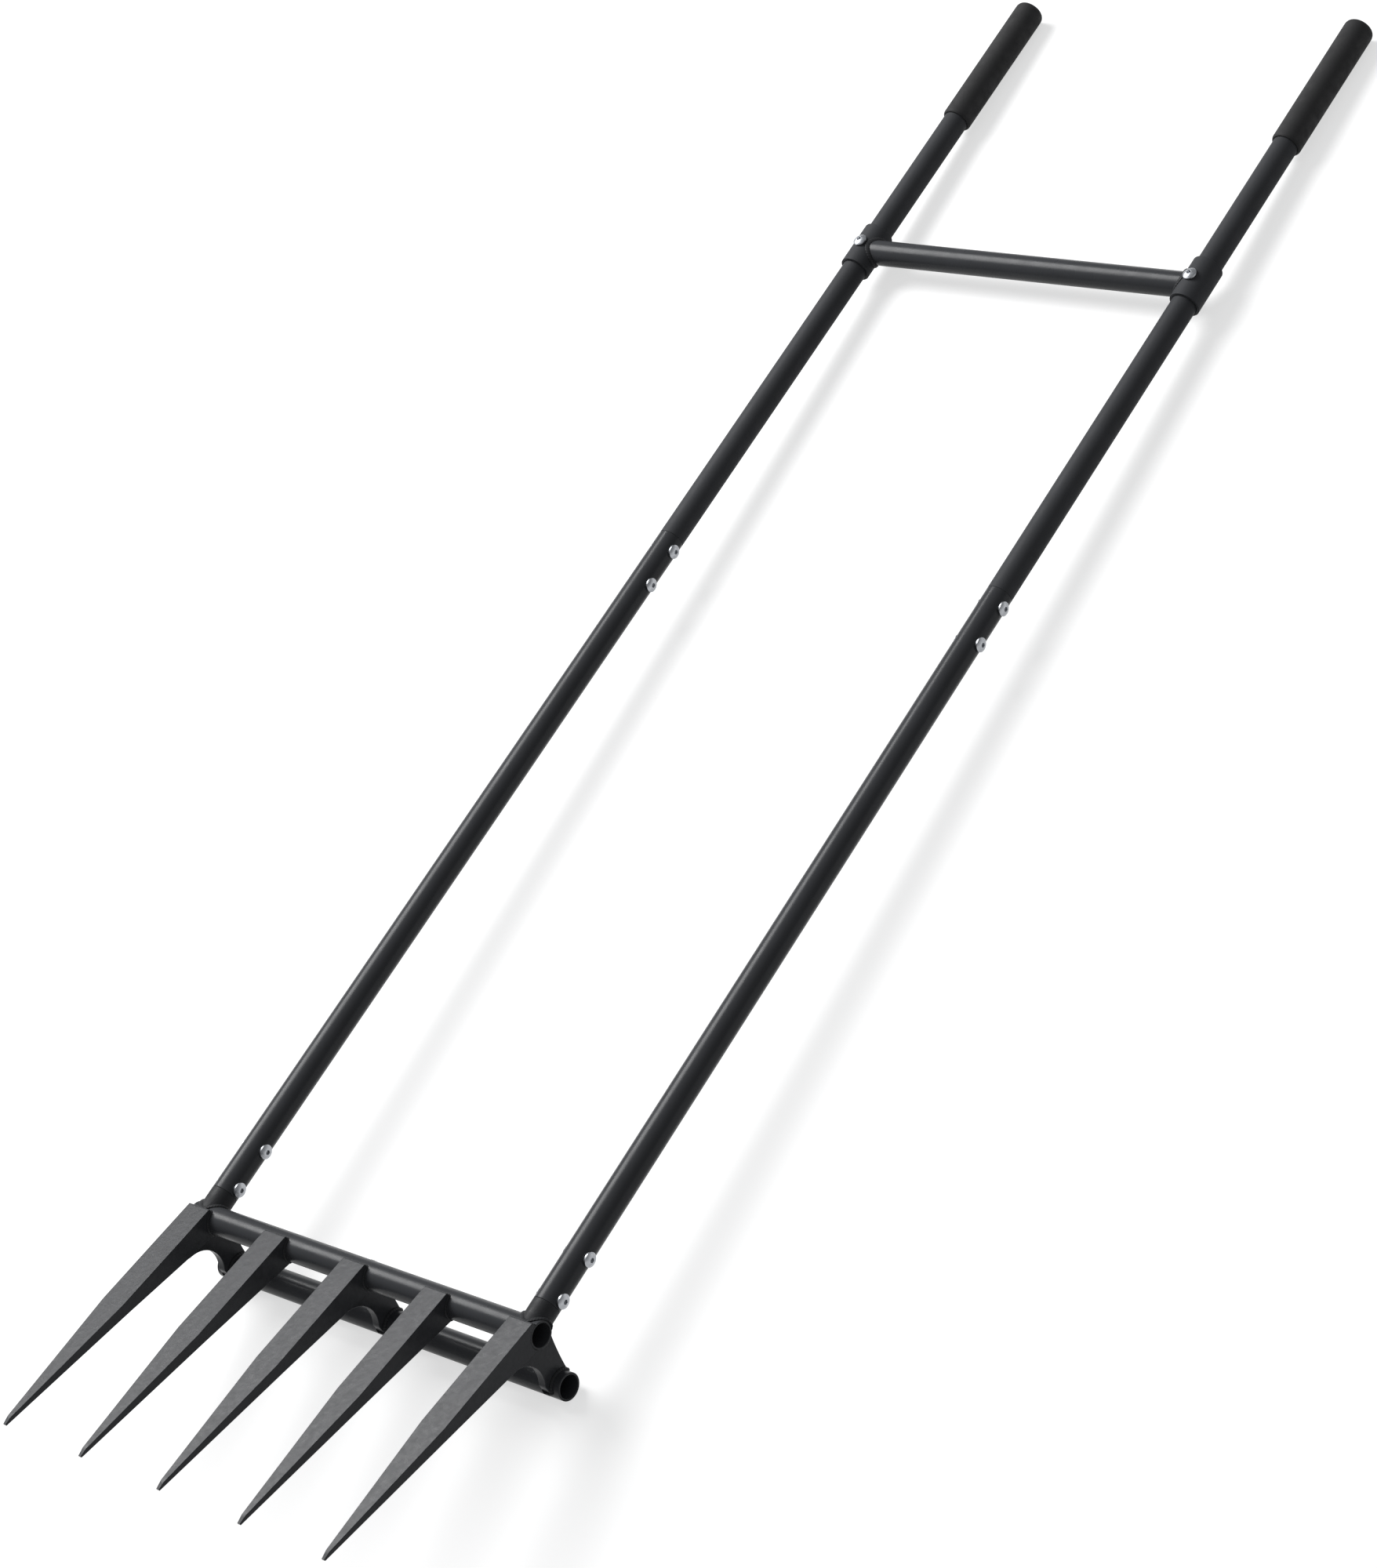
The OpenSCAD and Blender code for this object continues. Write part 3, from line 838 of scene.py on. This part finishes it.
    def welds(self) -> list[Skin]:
        """Lays beads round the feet of the tines, plates and stubs.

        Each is made about x = 0 and moved; the outer tines' beads end where the bar's rims start to round.

        Returns:
            The beads' surfaces.
        """
        plan, r = self.plan, self.plan.bar_r
        down = unit(np.array([-self.rear_slope, -1.0]))
        flush = plan.handle_span / 2 + self.bar_overhang - self.bar_edge
        skins = []
        bead = Bead(self.tine_bead_leg, self.tine_bead_ripple)
        foot = bead.plate_foot(self.tread, r, self.tine_w / 2, self.lip_angle, self.root_angle, tuple(down))
        for place in TINE_SHARES * plan.handle_span:
            grid = foot.points + (place, 0.0, 0.0)
            grid[..., 0] = np.clip(grid[..., 0], -flush, flush)
            skins.append(Skin(grid, Ends.RING))
        bead, half, start = Bead(self.bead_leg), self.plate_t / 2, self.bead_start
        for share in PLATE_SHARES.values():
            end = self.bead_end_outer if share else self.bead_end_middle
            for foot in (bead.plate_foot(self.tread, r, half, self.root_angle + start, end),
                         bead.plate_foot(self.heel, r, half, -math.pi + start, self.bead_end_heel)):
                skins.append(Skin(foot.points + (share * plan.handle_span, 0.0, 0.0), Ends.RING))
        foot = bead.round_foot(plan.handle_r, self.seat_r)
        skins += [Skin(plan.beside(foot.points, side), Ends.RING) for side in Side]
        return skins

    def build(self, coat: bpy.types.Material, flat: bpy.types.Material, weld: bpy.types.Material) -> None:
        """Makes the head's pieces.

        Args:
            coat: Finish of the bars.
            flat: Finish of the tines and plates.
            weld: Finish of the stubs and beads.
        """
        plan = self.plan
        plan.piece("tread_bar_coated", [self.bar(*self.tread)], coat, Slot.COAT, "tread_bar")
        plan.piece("heel_bar_coated", [self.bar(*self.heel)], coat, Slot.COAT, "heel_bar")
        for number, share in enumerate(TINE_SHARES, 1):
            name = f"tine_{number}"
            plan.piece(f"{name}_coated", [self.tine(share * plan.handle_span)], flat, Slot.COAT, name)
        for name, share in PLATE_SHARES.items():
            skin = self.plate(share * plan.handle_span, outer=share != 0.0)
            plan.piece(f"{name}_coated", [skin], flat, Slot.COAT, name)
        for side in Side:
            name = f"handle_stub_{side.word}"
            plan.piece(f"{name}_coated", [self.stub(side)], weld, Slot.COAT, name)
        plan.piece("head_welds", self.welds(), weld, Slot.COAT)


@dataclass
class Handles:
    """The four handle tubes, in millimetres."""

    plan: Plan
    splice_len: float = 74.0
    lower_edge: float = 0.4
    upper_edge: float = 0.5

    def lower(self) -> np.ndarray:
        """Lower tube on z, between the stub's shoulder and the seam."""
        plan = self.plan
        low, high = plan.handle_start + plan.slip_gap, plan.seam - plan.slip_gap
        return lathe(tube(plan.handle_r, plan.handle_r - plan.handle_wall, low, high, self.lower_edge))

    def upper(self) -> np.ndarray:
        """Upper tube on z and its reduced end inside the lower one, turned from one closed profile."""
        plan = self.plan
        wide, bore = plan.handle_r, plan.handle_r - plan.handle_wall
        slip, low = bore - plan.slip_gap, plan.seam - self.splice_len
        inner = slip - plan.handle_wall
        seam, top, step = plan.seam, plan.top, plan.seam + plan.handle_wall
        reduced = [(inner, low), (slip, low), (slip, seam), (wide, seam)]
        full = [(wide, top), (bore, top), (bore, step), (inner, step)]
        return lathe(eased(reduced + full, self.upper_edge))

    def build(self, satin: bpy.types.Material, matt: bpy.types.Material) -> None:
        """Makes the lower tubes in the satin coat and the upper ones in the matt one."""
        tubes = (("lower_handle", self.lower(), satin), ("upper_handle", self.upper(), matt))
        for side in Side:
            for name, grid, coat in tubes:
                node = f"{name}_{side.word}"
                skin = Skin(self.plan.beside(grid, side), Ends.RING)
                self.plan.piece(f"{node}_coated", [skin], coat, Slot.COAT, node)


@dataclass
class Brace:
    """The crossbrace and its two collars, in millimetres."""

    plan: Plan
    brace_r: float = 12.5
    brace_wall: float = 1.5
    brace_edge: float = 0.2
    collar_len: float = 48.0
    collar_edge: float = 0.7
    bead_leg: float = 2.8

    def collar(self, side: Side) -> Skin:
        """Sleeve on a handle, with softened rims."""
        plan = self.plan
        low, high = plan.brace_height - self.collar_len / 2, plan.brace_height + self.collar_len / 2
        profile = tube(plan.collar_r, plan.handle_r + plan.slip_gap, low, high, self.collar_edge)
        return Skin(plan.beside(lathe(profile), side), Ends.RING)

    def brace(self) -> Skin:
        """Tube along x whose ends follow the collars.

        The profile is turned about the tube's own axis. The points of each end, near x = span/2, are then
        moved inwards by sqrt(R^2 - y^2), where R is the collar's radius with the weld's gap.

        Returns:
            The crossbrace's surface.
        """
        plan = self.plan
        half = plan.handle_span / 2
        profile = tube(self.brace_r, self.brace_r - self.brace_wall, -half, half, self.brace_edge)
        grid = along_x(lathe(profile))
        cut = np.sqrt((plan.collar_r + plan.weld_gap) ** 2 - grid[..., 1] ** 2)
        foot = np.abs(grid[..., 0]) > half - FOOT_H
        grid[..., 0] -= np.where(foot, np.sign(grid[..., 0]) * cut, 0.0)
        return Skin(grid + (0.0, 0.0, plan.brace_height), Ends.RING)

    def weld(self, side: Side) -> Skin:
        """Bead round an end of the crossbrace, as round a tube's foot on a bar: the bar is the collar."""
        foot = Bead(self.bead_leg).round_foot(self.brace_r, self.plan.collar_r).points
        turned = np.stack([-side.value * foot[..., 2], foot[..., 1], foot[..., 0]], axis=2)
        return Skin(self.plan.beside(turned, side) + (0.0, 0.0, self.plan.brace_height), Ends.RING)

    def build(self, coat: bpy.types.Material, matt: bpy.types.Material, weld: bpy.types.Material) -> None:
        """Makes the collars, the crossbrace and its welds.

        Args:
            coat: Finish of the crossbrace.
            matt: Finish of the collars.
            weld: Finish of the beads.
        """
        for side in Side:
            name = f"brace_collar_{side.word}"
            self.plan.piece(f"{name}_coated", [self.collar(side)], matt, Slot.COAT, name)
        self.plan.piece("crossbrace_coated", [self.brace()], coat, Slot.COAT, "crossbrace")
        self.plan.piece("brace_welds", [self.weld(side) for side in Side], weld, Slot.COAT)


@dataclass
class Grips:
    """The two rubber grips, in millimetres."""

    plan: Plan
    length: float = 158.0
    wall: float = 2.4
    end_t: float = 4.0
    end_ease: float = 6.9
    bore_ease: float = 1.0
    mouth: float = 2.0
    mouth_eases: tuple[float, ...] = (0.3, 0.6, 2.0)
    hub_r: float = 1.0
    steps: int = 10

    def grip(self, side: Side) -> Skin:
        """Sleeve with a closed, rounded end.

        It is turned from one open profile, which starts inside and ends outside its closed end, both at
        a small radius that a fan fills.

        Args:
            side: Which handle it is on.

        Returns:
            The grip's surface.
        """
        plan = self.plan
        bore = plan.handle_r + plan.slip_gap
        r, floor = bore + self.wall, plan.top + plan.slip_gap
        top = floor + self.end_t
        low = top - self.length
        inside = [(self.hub_r, floor), (bore, floor), (bore, low)]
        outside = [(r - self.wall / 2, low), (r, low + self.mouth), (r, top), (self.hub_r, top)]
        eases = [0.0, self.bore_ease, *self.mouth_eases, self.end_ease, 0.0]
        profile = eased(inside + outside, eases, closed=False, steps=self.steps)
        return Skin(plan.beside(lathe(profile), side))

    def build(self, rubber: bpy.types.Material) -> None:
        """Makes the grips in the given rubber."""
        for side in Side:
            name = f"grip_{side.word}"
            self.plan.piece(f"{name}_rubber", [self.grip(side)], rubber, Slot.RUBBER, name)


@dataclass
class Fasteners:
    """Domed socket bolts and their barrel nuts.

    Attributes are millimetres, apart from the shares, which are of the socket's half width or, in
    rim_shares, of rim_edge: how far each point of the head's lower rim lies inwards and up.
    """

    plan: Plan
    pitch: float = 42.0
    head_edge: float = 8.0
    splice_edge: float = 14.0
    head_d: float = 13.5
    head_h: float = 4.0
    rim_h: float = 1.8
    rim_edge: float = 0.5
    rim_shares: tuple[tuple[float, float], ...] = ((0.0, 1.2), (0.24, 0.4), (1.0, 0.0))
    socket_w: float = 4.0
    socket_deep: float = 2.0
    floor_share: float = 0.96
    floor_edge: float = 0.1
    mouth_deep: float = 0.25
    mouth_share: float = 1.18
    lip_deep: float = 0.03
    lip_share: float = 1.05
    barrel_d: float = 8.5
    barrel_len: float = 10.0
    cap_d: float = 11.0
    cap_h: float = 1.8
    cap_rim: float = 0.3
    chamfer: float = 0.3
    end_chamfer: float = 0.8
    hub_r: float = 0.4
    turns: int = 72

    @staticmethod
    def dome(d: float, rim: float, h: float, inner: float, count: int = 14) -> np.ndarray:
        """Works out a low dome's profile, on the circle that goes through its rim and its crown.

        Args:
            d: The dome's diameter.
            rim: Height of its rim.
            h: Height of its crown.
            inner: Radius where the profile ends.
            count: Points on the profile.

        Returns:
            The points of (radius, height), from the rim inwards.
        """
        crown = h - rim
        r = ((d / 2) ** 2 + crown ** 2) / (2 * crown)
        at = np.linspace(d / 2, inner, count)
        return np.stack([at, h - r + np.sqrt(r ** 2 - at ** 2)], axis=1)

    def bolt(self, clamped: float) -> np.ndarray:
        """Bolt on z, with its head below z = 0 and its shank above.

        A profile from the socket's floor over the dome to the shank's end is turned about z. Where it is
        in the socket, the radius is that of a hexagon, (w/2) / cos(t), with t within 30 degrees of a flat.

        Args:
            clamped: Thickness that the bolt passes through.

        Returns:
            The bolt's grid.
        """
        flat, rim, shaft = self.socket_w / 2, self.head_d / 2, self.plan.bolt_r
        dome = self.dome(self.head_d, self.rim_h, self.head_h, flat * self.mouth_share)
        face, end = dome[-1, 1], clamped - shaft
        deep = face - self.socket_deep
        socket = [(self.hub_r, deep), (flat * self.floor_share, deep), (flat, deep + self.floor_edge),
                  (flat, face - self.mouth_deep), (flat * self.lip_share, face - self.lip_deep)]
        under = [(rim - back * self.rim_edge, up * self.rim_edge) for back, up in self.rim_shares]
        shank = [(shaft + self.chamfer, 0.0), (shaft, -self.chamfer), (shaft, self.end_chamfer - end),
                 (shaft - self.end_chamfer, -end), (self.hub_r, -end)]
        profile = np.concatenate([socket, dome[::-1], under, shank])
        grid = lathe(profile, self.turns)
        t = np.linspace(0.0, math.tau, self.turns, endpoint=False)
        hexagon = 1.0 / np.cos((t % (math.pi / 3)) - math.pi / 6)
        in_socket = np.arange(len(profile))[:, None] < len(socket)
        grid[..., :2] *= np.where(in_socket, hexagon, 1.0)[..., None]
        grid[..., 2] *= -1.0
        return grid

    def nut(self, clamped: float) -> np.ndarray:
        """Barrel nut on z: a sleeve in what is clamped and a low domed cap beyond it, turned as one.

        Args:
            clamped: Thickness that the bolt passes through.

        Returns:
            The nut's grid.
        """
        bore, r = self.plan.bolt_r + self.plan.slip_gap, self.barrel_d / 2
        floor, low = -self.plan.bolt_r / 2, -self.barrel_len
        inside = [(self.hub_r, floor), (bore, floor), (bore, low)]
        outside = [(r - self.chamfer, low), (r, low + self.chamfer), (r, 0.0), (self.cap_d / 2, 0.0)]
        cap = self.dome(self.cap_d, self.cap_rim, self.cap_h, self.hub_r)
        return lathe(np.concatenate([inside, outside, cap]), self.turns) + (0.0, 0.0, clamped)

    def across_handle(self, points: np.ndarray, z: float, side: Side) -> Skin:
        """Sets a fastener through a handle from its right, at a height."""
        x = self.plan.handle_r - points[..., 2]
        turned = np.stack([x, points[..., 1], z + points[..., 0]], axis=2)
        return Skin(self.plan.beside(turned, side))

    def across_collar(self, points: np.ndarray, side: Side) -> Skin:
        """Sets a fastener through a collar from its front."""
        plan = self.plan
        y, z = points[..., 2] - plan.collar_r, plan.brace_height - points[..., 1]
        return Skin(plan.beside(np.stack([points[..., 0], y, z], axis=2), side))

    def build(self, zinc: bpy.types.Material) -> None:
        """Makes the bolts and nuts in the given plating."""
        plan = self.plan
        low, high = plan.handle_start + self.head_edge, plan.seam - self.splice_edge
        kinds = {"bolts": self.bolt, "nuts": self.nut}
        for joint, heights in (("head", (low, low + self.pitch)), ("splice", (high, high - self.pitch))):
            for kind, make in kinds.items():
                grid = make(2 * plan.handle_r)
                skins = [self.across_handle(grid, z, side) for side in Side for z in heights]
                plan.piece(f"{joint}_{kind}_zinc", skins, zinc, Slot.ZINC, f"{joint}_{kind}")
        for kind, make in kinds.items():
            grid = make(2 * plan.collar_r)
            skins = [self.across_collar(grid, side) for side in Side]
            plan.piece(f"brace_{kind}_zinc", skins, zinc, Slot.ZINC, f"brace_{kind}")


# Studio.

@dataclass(frozen=True)
class Studio:
    """Floor, light and camera, in metres on the floor.

    Attributes:
        floor_half: Half the floor's width.
        floor_drop: How far it lies below the tool, so that the two share no face.
        floor_colour: What the floor gives back of the light that falls on it, as the camera sees it.
        floor_shade: What it gives back to the tool, as if the paper ended just outside the picture.
        floor_glow: What the camera and reflections see on top of that, so that the floor comes out white.
        sky: Colour of the light from all round.
        sky_strength: Its strength.
        box_place: Place of the large soft light.
        box_aim: Where it points.
        box_size: Its width and height.
        box_watts: Its power.
        eye: The camera's place.
        right: The picture's right.
        up: The picture's up.
        lens_mm: The camera's focal length.
        sensor_mm: Size of its sensor along the picture's longer side.
        far: How far it sees.
    """

    floor_half: float = 40.0
    floor_drop: float = 0.0004
    floor_colour: str = "#b4b4b4"
    floor_shade: str = "#7c7c7c"
    floor_glow: float = 0.62
    sky: str = "#f4f6f8"
    sky_strength: float = 0.35
    box_place: tuple[float, float, float] = (-3.51, 1.08, 3.95)
    box_aim: tuple[float, float, float] = (-1.05, -1.5, -0.56)
    box_size: tuple[float, float] = (3.44, 2.43)
    box_watts: float = 407.0
    eye: tuple[float, float, float] = (2.4481, -1.4038, 2.5355)
    right: tuple[float, float, float] = (0.735953, 0.491840, -0.465259)
    up: tuple[float, float, float] = (-0.164162, 0.796333, 0.582155)
    lens_mm: float = 94.793
    sensor_mm: float = 36.0
    far: float = 200.0

    def floor(self) -> None:
        """Makes the pale floor.

        It is a dull sheet that keeps shadows, with a glow for camera, glossy and transmission rays.
        """
        half, z = self.floor_half, -self.floor_drop
        sheet_corners = [(-half, -half, z), (half, -half, z), (half, half, z), (-half, half, z)]
        mesh = bpy.data.meshes.new("floor")
        mesh.from_pydata(sheet_corners, [], [(0, 1, 2, 3)])
        made = bpy.data.materials.new("pale_paper_floor")
        made.use_nodes = True
        tree = made.node_tree
        tree.nodes.clear()
        ray = add_node(tree, "ShaderNodeLightPath", {}).outputs
        direct = add_node(tree, "ShaderNodeMath", {
            0: ray["Is Camera Ray"], 1: ray["Is Glossy Ray"]}, operation="MAXIMUM")
        seen = add_node(tree, "ShaderNodeMath", {
            0: direct.outputs[0], 1: ray["Is Transmission Ray"]}, operation="MAXIMUM")
        glow = add_node(tree, "ShaderNodeMath", {
            0: seen.outputs[0], 1: self.floor_glow}, operation="MULTIPLY")
        shade = add_node(tree, "ShaderNodeMix", {
            MIX_FACTOR: seen.outputs[0], MIX_FIRST: linear(self.floor_shade),
            MIX_SECOND: linear(self.floor_colour)}, data_type="RGBA")
        paper = add_node(tree, "ShaderNodeBsdfDiffuse", {"Color": shade.outputs[MIX_RESULT]})
        light = add_node(tree, "ShaderNodeEmission", {"Strength": glow.outputs[0]})
        both = add_node(tree, "ShaderNodeAddShader", {0: paper.outputs[0], 1: light.outputs[0]})
        add_node(tree, "ShaderNodeOutputMaterial", {"Surface": both.outputs[0]})
        mesh.materials.append(made)
        sheet = bpy.data.objects.new("floor", mesh)
        bpy.context.scene.collection.objects.link(sheet)

    def light(self) -> None:
        """Lights the tool with a large soft box over its far left, and an even pale sky."""
        lamp = bpy.data.lights.new("soft_box", "AREA")
        lamp.shape, lamp.size, lamp.size_y = "RECTANGLE", self.box_size[0], self.box_size[1]
        lamp.energy = self.box_watts
        box = bpy.data.objects.new("soft_box", lamp)
        box.location = self.box_place
        box.rotation_euler = (box.location - Vector(self.box_aim)).to_track_quat("Z", "Y").to_euler()
        bpy.context.scene.collection.objects.link(box)
        world = bpy.data.worlds.new("pale_sky")
        world.use_nodes = True
        sky = world.node_tree.nodes["Background"].inputs
        sky["Color"].default_value, sky["Strength"].default_value = linear(self.sky), self.sky_strength
        bpy.context.scene.world = world

    def camera(self) -> None:
        """Sets the camera where the photograph was taken from."""
        lens = bpy.data.cameras.new("photograph")
        lens.sensor_width, lens.lens, lens.clip_end = self.sensor_mm, self.lens_mm, self.far
        camera = bpy.data.objects.new("photograph", lens)
        right, up = Vector(self.right), Vector(self.up)
        turn = Matrix((right, up, right.cross(up))).transposed().to_4x4()
        camera.matrix_world = Matrix.Translation(self.eye) @ turn
        bpy.context.scene.collection.objects.link(camera)
        bpy.context.scene.camera = camera

    def build(self) -> None:
        """Makes the floor, the light and the camera."""
        bpy.context.scene.view_settings.view_transform = "Standard"
        self.floor()
        self.light()
        self.camera()


def corners(box: Sequence[Sequence[float]]) -> list[list[float]]:
    """A box's two corners as plain lists."""
    return [[float(value) for value in corner] for corner in box]


def main() -> None:
    """Loads the frame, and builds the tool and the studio."""
    logging.basicConfig(level=logging.INFO, format="%(name)s: %(message)s")
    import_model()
    finishes = (POWDER_COAT, MATT_COAT, PLATE_COAT, WELD_COAT)
    coat, matt, flat, weld = (finish.material() for finish in finishes)
    plan = Plan()
    Studio().build()
    Head(plan).build(coat, flat, weld)
    Handles(plan).build(coat, matt)
    Brace(plan).build(coat, matt, weld)
    Grips(plan).build(GRIP_RUBBER.material())
    Fasteners(plan).build(ZINC_PLATE.material())


if __name__ == "__main__":
    main()
